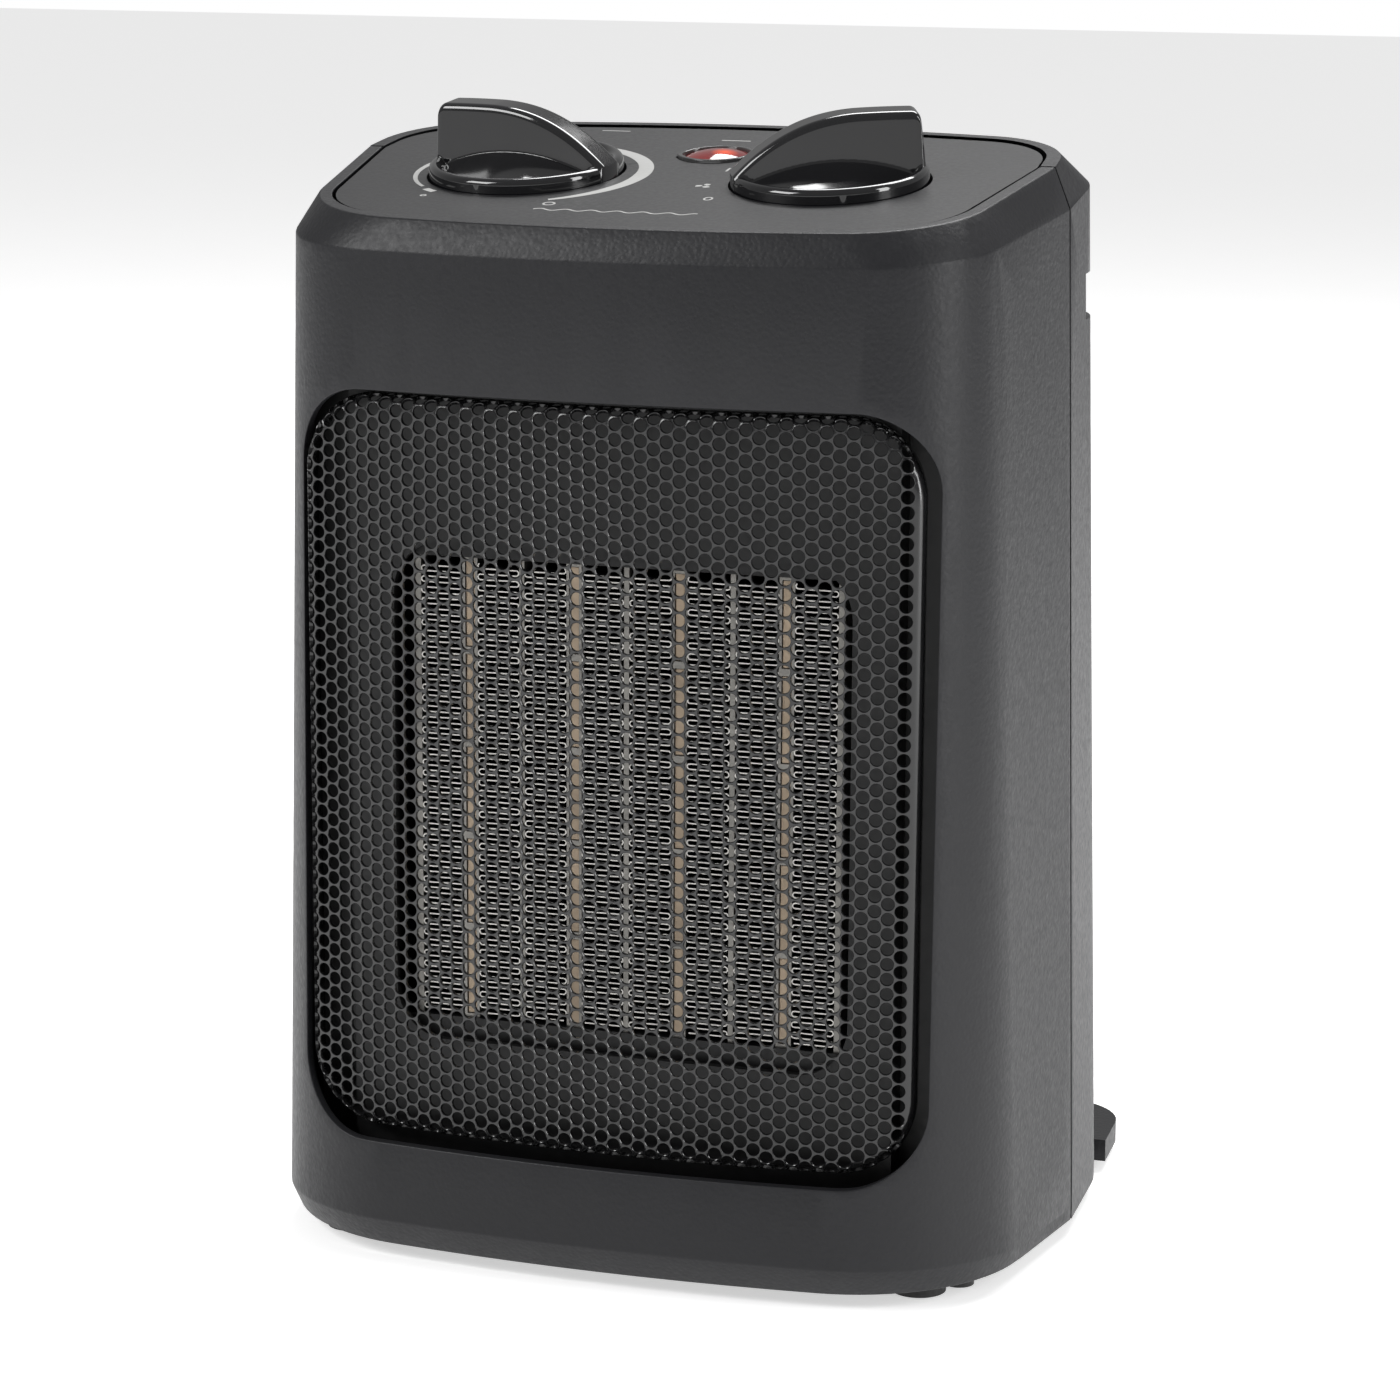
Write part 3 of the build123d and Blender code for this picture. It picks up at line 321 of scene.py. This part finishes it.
def build_grille():
    """Perforated sheet of hexagonal cells, each with its round hole, and a plain folded margin."""
    verts = []
    faces = []
    index = {}
    levels = (0.0, 0.14, MESH_THICK)
    width = PITCH * sqrt(3) / 2
    point = PITCH / sqrt(3)
    half_flat = point / 2
    left, right = -half_flat, half_flat
    per_side = 3
    segments = 6 * per_side

    def corner(u, z, level):
        """Shared vertex of the plain sheet, at the front (0) or the back (2)."""
        key = (round(u, 3), round(z, 3), level)
        if key not in index:
            index[key] = len(verts)
            verts.append(on_sheet(u, z, levels[level]))
        return index[key]

    def plate(*loop):
        """Front and back face over a loop of layout points."""
        faces.append([corner(u, z, 0) for u, z in loop])
        faces.append([corner(u, z, 2) for u, z in reversed(loop)])

    top = HOLES_Z + ROWS * PITCH
    low_z, high_z = HOLES_Z - EDGE, top + PITCH / 2 + EDGE
    for column in range(COLUMNS):
        u = FIRST_HOLE_U + column * width
        odd = column % 2
        for row in range(ROWS):
            z = HOLES_Z + (row + 0.5 + odd / 2) * PITCH
            rim = [(u + point * cos(k * pi / 3), z + point * sin(k * pi / 3)) for k in range(6)]
            rings = []
            for level, radius in ((0, HOLE_R + 0.1), (1, HOLE_R), (2, HOLE_R)):
                ring = []
                for k in range(segments):
                    angle = 2 * pi * k / segments
                    ring.append(len(verts))
                    verts.append(on_sheet(u + radius * cos(angle), z + radius * sin(angle), levels[level]))
                rings.append(ring)
            for k in range(6):
                a, b = rim[k], rim[(k + 1) % 6]
                turn = [(per_side * k + j) % segments for j in range(per_side, -1, -1)]
                faces.append([corner(*a, 0), corner(*b, 0)] + [rings[0][j] for j in turn])
                faces.append([rings[2][j] for j in reversed(turn)] + [corner(*b, 2), corner(*a, 2)])
            for near, far in ((rings[0], rings[1]), (rings[1], rings[2])):
                for k in range(segments):
                    j = (k + 1) % segments
                    faces.append([near[k], near[j], far[j], far[k]])
        # plain margin under and over the column
        if odd:
            rise = HOLES_Z + PITCH / 2
            dip = top + PITCH / 2
            plate((u - point, low_z), (u - half_flat, low_z), (u - half_flat, rise), (u - point, HOLES_Z))
            plate((u + left, low_z), (u + right, low_z), (u + right, rise), (u + left, rise))
            plate((u + half_flat, low_z), (u + point, low_z), (u + point, HOLES_Z), (u + half_flat, rise))
            plate((u - point, top), (u - half_flat, dip), (u - half_flat, high_z), (u - point, high_z))
            plate((u + left, dip), (u + right, dip), (u + right, high_z), (u + left, high_z))
            plate((u + half_flat, dip), (u + point, top), (u + point, high_z), (u + half_flat, high_z))
        else:
            plate((u + left, low_z), (u + right, low_z), (u + right, HOLES_Z), (u + left, HOLES_Z))
            plate((u + left, top), (u + right, top), (u + right, high_z), (u + left, high_z))
    # plain margins beside the first and last columns
    first = FIRST_HOLE_U
    last = FIRST_HOLE_U + (COLUMNS - 1) * width
    half_zs = [HOLES_Z + k * PITCH / 2 for k in range(2 * ROWS + 1)]
    strips = {}
    for side, u, edge in ((-1, first, -SHEET_HALF), (1, last, SHEET_HALF)):
        inner = u + side * (point + 0.2)
        steps = max(3, int(abs(edge - inner) / 1.2))
        strips[side] = [inner + (edge - inner) * k / steps for k in range(steps + 1)]

        def fill(*loop):
            """A plate wound for this side."""
            plate(*(loop if side < 0 else loop[::-1]))

        flat = u + side * half_flat
        for k, z in enumerate(half_zs[:-1]):
            near = flat if k % 2 == 0 else u + side * point
            far = u + side * point if k % 2 == 0 else flat
            fill((inner, z), (near, z), (far, half_zs[k + 1]), (inner, half_zs[k + 1]))
        fill((inner, low_z), (flat, low_z), (flat, HOLES_Z), (inner, HOLES_Z))
        fill((inner, top), (flat, top), (flat, high_z), (inner, high_z))
        rows = [low_z] + half_zs + [high_z]
        for a, b in zip(strips[side], strips[side][1:]):
            for z0, z1 in zip(rows, rows[1:]):
                fill((b, z0), (a, z0), (a, z1), (b, z1))
    # walls round the outer edge
    across = [FIRST_HOLE_U + k * width + s for k in range(COLUMNS) for s in (-half_flat, half_flat)]
    across = strips[-1][::-1] + across + strips[1]
    for z, flip in ((low_z, False), (high_z, True)):
        for a, b in zip(across, across[1:]):
            wall = [corner(a, z, 2), corner(b, z, 2), corner(b, z, 0), corner(a, z, 0)]
            faces.append(wall[::-1] if flip else wall)
    rows = [low_z] + half_zs + [high_z]
    for u, flip in ((-SHEET_HALF, True), (SHEET_HALF, False)):
        for z0, z1 in zip(rows, rows[1:]):
            wall = [corner(u, z0, 2), corner(u, z1, 2), corner(u, z1, 0), corner(u, z0, 0)]
            faces.append(wall[::-1] if flip else wall)
    grille = make_piece("perforated_grille", verts, faces, [MESH], "case", 35)
    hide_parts("grille_mesh")
    return grille


build_grille()

# ---------------------------------------------------------------- corrugated fins
BAR_SPACING = 25.0
BAR_W = 3.6
DIVIDER_W = 1.2
FIN_Z = (54.5, 162.0)
FIN_PITCH = 2.5
FOIL = 0.3
PTC_FRONT = -56.0
PTC_DEPTH = 15.0


def build_fins():
    """Serpentine foil between each bar and its neighbouring divider, with round turns."""
    verts = []
    faces = []
    kinds = []
    for bar in (-37.5, -12.5, 12.5, 37.5):
        for side in (-1, 1):
            near = bar + side * (BAR_W / 2 + 0.15)
            far = bar + side * (BAR_SPACING / 2 - DIVIDER_W / 2 - 0.15)
            low, high = min(near, far), max(near, far)
            radius = FIN_PITCH / 4
            path = []
            z = FIN_Z[0] + 1.2
            going = side
            turn = 0
            while z < FIN_Z[1] - 1.6:
                sway = 0.10 * sin(turn * 2.3 + bar)
                start, stop = (low, high) if going > 0 else (high, low)
                for k in range(3):
                    share = (k + 0.5) / 3
                    path.append((start + (stop - start) * share, z + sway * (share - 0.5)))
                centre = stop - going * radius
                path[-3] = (start + going * radius, z - sway * 0.5)
                path[-1] = (centre, z + sway * 0.5)
                for k in range(1, 6):
                    angle = -pi / 2 + pi * k / 6
                    path.append((centre + going * radius * cos(angle), z + radius + radius * sin(angle)))
                z += FIN_PITCH / 2
                going = -going
                turn += 1
            count = len(path)
            first = len(verts)
            for k, (x, height) in enumerate(path):
                before = path[max(k - 1, 0)]
                after = path[min(k + 1, count - 1)]
                step = Vector((after[0] - before[0], after[1] - before[1])).normalized()
                across = (-step.y * FOIL / 2, step.x * FOIL / 2)
                for sign in (1, -1):
                    for depth in (PTC_FRONT, PTC_FRONT + PTC_DEPTH):
                        verts.append((x + sign * across[0], depth, height + sign * across[1]))
            for k in range(count - 1):
                a = first + 4 * k
                b = a + 4
                faces += [[a, b, b + 2, a + 2], [a + 1, a + 3, b + 3, b + 1]]
                faces += [[a, a + 1, b + 1, b], [a + 2, b + 2, b + 3, a + 3]]
                # front edge in the foil's own tone, sides and back edge in the painted-shade copy
                kinds += [0, 1, 1, 1]
            last = first + 4 * (count - 1)
            faces += [[first, first + 2, first + 3, first + 1], [last, last + 1, last + 3, last + 2]]
            kinds += [1, 1]
    fins = make_piece("corrugated_fins", verts, faces, [FIN_EDGE, FIN_SHADED_FACE], "case", 40, kinds)
    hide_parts("ptc_fins")


build_fins()


# ---------------------------------------------------------------- knobs
# place across the panel, turn of the tall end in degrees, and body
KNOB_TURN = {
    "thermostat_knob": (-KNOB_X, 170.0, "thermostat_dial"),
    "selector_knob": (KNOB_X, 24.0, "selector_dial"),
}
KNOB_R = 22.3
KNOB_BASE = -6.0
RIM_TOP = 3.0
RIM_ROUND = 1.5
GRIP_TOP = 15.45
GRIP_END = 20.5
GRIP_HALF = 4.2
GRIP_SHOULDER = 1.7
INNER_ROUND = 1.4        # inner side of the rim
FLOOR_LOW = 0.7
FLOOR_RISE = 4.6
KNOB_BLEND = 0.22        # softness of the joins between rim, floor and grip
EULER = 2.718281828


def rounded_drop(past, radius, slope):
    """Fall of a surface past the start of a rounded edge: a quarter turn, then a steep straight wall."""
    if past <= 0:
        return 0.0
    limit = radius * slope / sqrt(1 + slope**2)
    if past < limit:
        return radius - sqrt(radius**2 - past**2)
    return radius - sqrt(radius**2 - limit**2) + (past - limit) * slope


def grip_top(u):
    """Height of the grip's top edge along the knob, from its low end to its tall end."""
    if u > 6:
        return GRIP_TOP - 0.002 * (u - 6) ** 2
    share = (6 - u) / 28.3
    return GRIP_TOP - 11.4 * share**2.3 - 1.2 * share


def knob_height(u, v):
    """Height of the knob's top surface above the panel."""
    r = sqrt(u * u + v * v)
    crest = KNOB_R - RIM_ROUND
    rim = RIM_TOP - rounded_drop(r - crest, RIM_ROUND, 8) - rounded_drop(crest - r, INNER_ROUND, 1.6)
    across = abs(v)
    lane = sqrt(max(1.0, 19.6**2 - u * u))
    share = min(1, max(0, (lane - across) / max(0.5, lane - 5.6)))
    floor = FLOOR_LOW + FLOOR_RISE * max(0, 1 - (u / 20.5) ** 2) * share**1.3
    grip = grip_top(u) - rounded_drop(across - GRIP_HALF + GRIP_SHOULDER, GRIP_SHOULDER, 7)
    grip -= rounded_drop(u - GRIP_END + 2.0, 1.9, 14)
    highest = max(rim, floor, grip)
    total = sum(EULER ** ((h - highest) / KNOB_BLEND) for h in (rim, floor, grip))
    return highest + KNOB_BLEND * log(total)


def spread(stops):
    """Values from the first stop to the last with a step for each span: (start, step) pairs, end."""
    values = []
    for (start, step), (end, _) in zip(stops, stops[1:]):
        count = max(1, round((end - start) / step))
        values += [start + (end - start) * k / count for k in range(count)]
    return values + [stops[-1][0]]


def build_knob(name, x, turn, body):
    """Gloss knob: a round rimmed disc with a scooped floor and a tall grip across it."""
    lean = radians(PANEL_TILT)
    spin = radians(turn)
    height = PANEL_Z + (KNOB_Y - SEAM_Y) * tan(lean)
    u_axis = Vector((cos(spin), sin(spin) * cos(lean), sin(spin) * sin(lean)))
    w_axis = Vector((0, -sin(lean), cos(lean)))
    v_axis = w_axis.cross(u_axis)
    origin = Vector((x, KNOB_Y, height))

    def place(u, v, w):
        return origin + u_axis * u + v_axis * v + w_axis * w

    near_edge = [(18.5, 0.2), (KNOB_R - 0.35, 0.1), (KNOB_R - 0.02, 0)]
    half_rows = spread([(0, 0.5), (2.2, 0.12), (3.8, 0.06), (6.0, 0.45)] + near_edge)
    rows = [-v for v in reversed(half_rows[1:])] + half_rows
    columns = spread([(-1, 0.006), (-0.9, 0.02), (0.78, 0.012), (0.86, 0.005), (1, 0)])
    verts = []
    faces = []
    across = len(columns)
    for v in rows:
        reach = sqrt(KNOB_R**2 - v * v)
        for share in columns:
            u = share * reach
            verts.append(place(u, v, knob_height(u, v)))
    for i in range(len(rows) - 1):
        for j in range(across - 1):
            a = i * across + j
            faces.append([a, a + 1, a + across + 1, a + across])
    last = (len(rows) - 1) * across
    loop = list(range(across)) + [i * across + across - 1 for i in range(1, len(rows))]
    loop += [last + j for j in range(across - 2, -1, -1)] + [i * across for i in range(len(rows) - 2, 0, -1)]
    skirt = len(verts)
    for k in loop:
        point = Vector(verts[k]) - origin
        verts.append(place(point.dot(u_axis), point.dot(v_axis), KNOB_BASE))
    count = len(loop)
    for k in range(count):
        j = (k + 1) % count
        faces.append([loop[j], loop[k], skirt + k, skirt + j])
    faces.append([skirt + k for k in reversed(range(count))])
    knob = make_piece(name + "_moulding", verts, faces, [KNOB], body, 50)
    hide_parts(name)


for name, (x, turn, body) in KNOB_TURN.items():
    build_knob(name, x, turn, body)


# ---------------------------------------------------------------- dial marks on the panel
def panel_point(x, y, rise):
    """Point above the control panel's top face, in mm, at (x, y) measured along the panel."""
    lean = radians(PANEL_TILT)
    rise -= PANEL_DROP
    height = PANEL_Z + (KNOB_Y - SEAM_Y) * tan(lean)
    along = (y - KNOB_Y)
    return (x, KNOB_Y + along * cos(lean) - rise * sin(lean), height + along * sin(lean) + rise * cos(lean))


def print_ribbon(name, pairs, closed=False):
    """Thin printed ribbon through pairs of points, which are its two edges."""
    verts = []
    faces = []
    for pair in pairs:
        for x, y in pair:
            for rise in (-0.02, 0.07):
                verts.append(panel_point(x, y, rise))
    count = len(pairs)
    for k in range(count if closed else count - 1):
        a = 4 * k
        b = 4 * ((k + 1) % count)
        faces += [[a + 1, a + 3, b + 3, b + 1], [a, b, b + 2, a + 2]]
        faces += [[a, a + 1, b + 1, b], [a + 2, b + 2, b + 3, a + 3]]
    if not closed:
        last = 4 * (count - 1)
        faces += [[0, 2, 3, 1], [last, last + 1, last + 3, last + 2]]
    obj = make_piece(name, verts, faces, [PRINT], "case")
    bm = bmesh.new()
    bm.from_mesh(obj.data)
    bmesh.ops.recalc_face_normals(bm, faces=bm.faces)
    bm.to_mesh(obj.data)
    bm.free()


def print_strip(name, centre, stations):
    """Thin printed arc: stations are (angle in degrees, inner radius, outer radius)."""
    pairs = []
    for angle, inner, outer in stations:
        out = (cos(radians(angle)), sin(radians(angle)))
        edges = (inner, outer)
        pairs.append([(centre[0] + radius * out[0], centre[1] + radius * out[1]) for radius in edges])
    print_ribbon(name, pairs)


def print_stroke(name, path, width):
    """Thin printed line of even width along a path."""
    pairs = []
    for k, (x, y) in enumerate(path):
        before = path[max(0, k - 1)]
        after = path[min(len(path) - 1, k + 1)]
        run = (after[0] - before[0], after[1] - before[1])
        length = sqrt(run[0] ** 2 + run[1] ** 2)
        side = (-run[1] / length * width / 2, run[0] / length * width / 2)
        pairs.append([(x + side[0], y + side[1]), (x - side[0], y - side[1])])
    print_ribbon(name, pairs)


def print_ring(name, x, y, wide, tall, line):
    """Printed oval ring."""
    pairs = []
    for k in range(28):
        out = (cos(2 * pi * k / 28), sin(2 * pi * k / 28))
        pairs.append([(x + (wide - t) * out[0], y + (tall - t) * out[1]) for t in (line, 0)])
    print_ribbon(name, pairs, closed=True)


def between(stations, steps):
    """The stations with steps between each pair."""
    rows = []
    for first, second in zip(stations, stations[1:]):
        for k in range(steps):
            rows.append(tuple(p + (q - p) * k / steps for p, q in zip(first, second)))
    return rows + [stations[-1]]


left = (-KNOB_X, KNOB_Y)
# heat scale: angle in degrees, inner and outer radius
SCALE = (
    (222, 24.9, 25.7),
    (180, 25.0, 26.3),
    (90, 25.2, 27.6),
    (45, 25.4, 28.6),
    (0, 25.9, 29.5),
    (-30, 26.9, 29.7),
    (-60, 28.4, 29.6),
)
print_strip("heat_scale", left, between(SCALE, 12))
print_strip("heat_scale_start", left, between(((236, 24.9, 26.6), (228, 24.9, 26.6)), 4))

# small and large rings at the ends of the heat scale, and plain rules behind the left knob and the lens
print_ring("low_heat_mark", -51.6, -47.9, 0.8, 0.8, 0.4)
print_ring("high_heat_mark", -20.2, -51.4, 1.5, 1.5, 0.5)
print_stroke("scale_rule", [(-33, 20.1), (-26, 20.1)], 0.5)
print_stroke("lamp_rule", [(-1, 13.6), (6, 13.6)], 0.5)

# positions of the right knob: 0, fan only, 1 and 2
print_ring("mark_0", 13.9, -42.2, 1.1, 1.5, 0.45)
print_stroke("mark_1", [(9.7, -16.5), (9.7, -13.3)], 0.5)
print_stroke("mark_2", [(26.4, 6.4), (27.4, 7.3), (28.4, 6.4), (28.2, 5.4), (26.4, 3.8), (28.6, 3.8)], 0.45)
for blade in range(3):
    start = 120 * blade + 20
    petal = ((start, 0.5, 0.9), (start + 35, 0.5, 1.9), (start + 70, 0.5, 2.0), (start + 85, 0.5, 1.2))
    print_strip(f"fan_mark_{blade}", (9.1, -30.6), between(petal, 4))

# wavy line along the front of the panel, for warm air
print_stroke("warm_air_mark", [(-22 + 0.5 * k, -56.6 + 0.7 * sin(k * pi / 6)) for k in range(77)], 0.5)

# ---------------------------------------------------------------- floor, lights and camera
floor = bpy.data.meshes.new("studio_floor")
floor.from_pydata([(-6, -6, 0), (6, -6, 0), (6, 6, 0), (-6, 6, 0)], [], [(0, 1, 2, 3)])
floor.materials.append(FLOOR)
floor_obj = bpy.data.objects.new("studio_floor", floor)
bpy.context.collection.objects.link(floor_obj)
floor_obj.location.z = -0.0003

world = bpy.data.worlds.new("studio_world")
world.use_nodes = True
background = world.node_tree.nodes["Background"]
background.inputs["Color"].default_value = (1, 1, 1, 1)
background.inputs["Strength"].default_value = 0.30
bright = world.node_tree.nodes.new("ShaderNodeBackground")
bright.inputs["Color"].default_value = (1, 1, 1, 1)
bright.inputs["Strength"].default_value = 1.0
path = world.node_tree.nodes.new("ShaderNodeLightPath")
chooser = world.node_tree.nodes.new("ShaderNodeMixShader")
links = world.node_tree.links
links.new(path.outputs["Is Camera Ray"], chooser.inputs[0])
links.new(background.outputs[0], chooser.inputs[1])
links.new(bright.outputs[0], chooser.inputs[2])
links.new(chooser.outputs[0], world.node_tree.nodes["World Output"].inputs["Surface"])
bpy.context.scene.world = world
bpy.context.scene.view_settings.view_transform = "Standard"


def area_light(name, where, target, size, power):
    """Rectangular soft light aimed at a point."""
    light = bpy.data.lights.new(name, "AREA")
    light.shape = "RECTANGLE"
    light.size, light.size_y = size
    light.energy = power
    obj = bpy.data.objects.new(name, light)
    bpy.context.collection.objects.link(obj)
    obj.location = where
    obj.rotation_euler = (Vector(target) - Vector(where)).to_track_quat("-Z", "Y").to_euler()
    return obj


area_light("key_left", (-1.1, -1.2, 1.3), (0, 0, 0.13), (0.9, 0.9), 22)
area_light("top_back", (0.1, 0.9, 1.5), (0, 0, 0.2), (1.2, 0.6), 22)
area_light("right_strip", (1.3, -0.25, 0.6), (0, 0, 0.15), (0.3, 1.2), 10)

CAMERA_AT = (0.306875, -0.925349, 0.322584)
AZIMUTH = radians(18.4187)
DOWN = radians(11.6941)
ROLL = radians(-0.3288)
rightward = Vector((cos(AZIMUTH), sin(AZIMUTH), 0))
forward = Vector((-sin(AZIMUTH) * cos(DOWN), cos(AZIMUTH) * cos(DOWN), -sin(DOWN)))
down = forward.cross(rightward)
rightward, down = (
    rightward * cos(ROLL) + down * sin(ROLL),
    down * cos(ROLL) - rightward * sin(ROLL),
)
camera = bpy.data.cameras.new("camera")
camera.lens = 108.03
camera.sensor_width = 36
camera.clip_start = 0.01
camera_obj = bpy.data.objects.new("camera", camera)
bpy.context.collection.objects.link(camera_obj)
turn = Matrix((rightward, -down, -forward)).transposed().to_4x4()
camera_obj.matrix_world = Matrix.Translation(CAMERA_AT) @ turn
bpy.context.scene.camera = camera_obj
